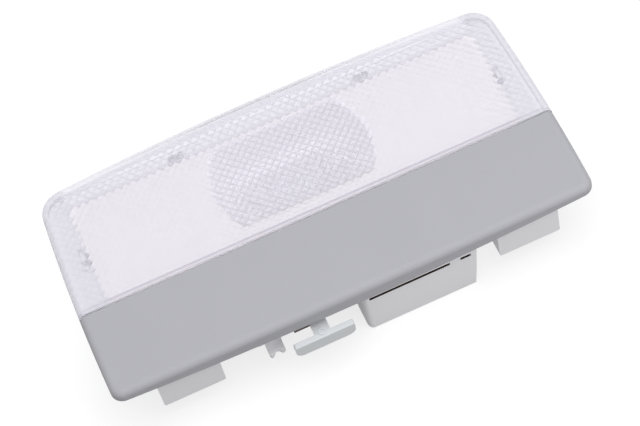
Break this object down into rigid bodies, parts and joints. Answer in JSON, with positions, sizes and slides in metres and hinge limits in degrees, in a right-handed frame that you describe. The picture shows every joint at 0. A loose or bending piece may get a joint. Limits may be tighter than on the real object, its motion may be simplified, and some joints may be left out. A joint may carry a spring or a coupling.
{
  "type": "car dome light",
  "caption": "Car dome light: plain grey trim cover beside a clear prismatic lens, white housing behind, festoon bulb, sliding T lever, plug box with three blades.",
  "frame": {"origin": "under the middle of the whole lamp, lever included, on the plane that its back stands on", "axes": "+Z out of the visible face, +X along the lamp with the plug box on its positive side, +Y from the trim cover towards the lens's far edge"},
  "size_m": [0.15, 0.079, 0.027],
  "materials": {
    "cover_grey": "fine matt grain",
    "lens_clear": "clear, smooth outside, prisms inside",
    "housing_white": "satin moulded",
    "shield_aluminium": "bright rolled",
    "bulb_glass": "clear",
    "filament_wire": "drawn wire",
    "cap_nickel": "nickel plated",
    "spring_brass": "spring hard, slightly dulled",
    "rivet_brass": "bright turned",
    "strip_brass": "rolled strip",
    "board_brown": "punched laminated sheet",
    "lever_white": "satin moulded",
    "spring_steel": "bright zinc"
  },
  "bodies": {
    "lamp": {"trim_cover": "cover_grey", "lens": "lens_clear", "base_housing": "housing_white", "heat_shield": "shield_aluminium", "bulb_glass": "bulb_glass", "bulb_filament": "filament_wire", "bulb_cap_left": "cap_nickel", "bulb_cap_right": "cap_nickel", "bulb_clip_left": "spring_brass", "bulb_clip_right": "spring_brass", "clip_rivets": "rivet_brass", "feed_strip": "strip_brass", "lamp_strip": "strip_brass", "door_strip": "strip_brass", "ground_strip": "strip_brass", "switch_board": "board_brown", "contact_rivets": "rivet_brass", "retaining_spring_left": "spring_steel", "retaining_spring_right": "spring_steel"},
    "switch": {"switch_lever": "lever_white", "slider_contact": "spring_brass", "detent_spring": "spring_steel"}
  },
  "joints": [
    {"name": "switch_slide", "type": "slide", "parent": "lamp", "child": "switch", "axis": [1, 0, 0], "range_m": [-0.0046, 0]}
  ]
}
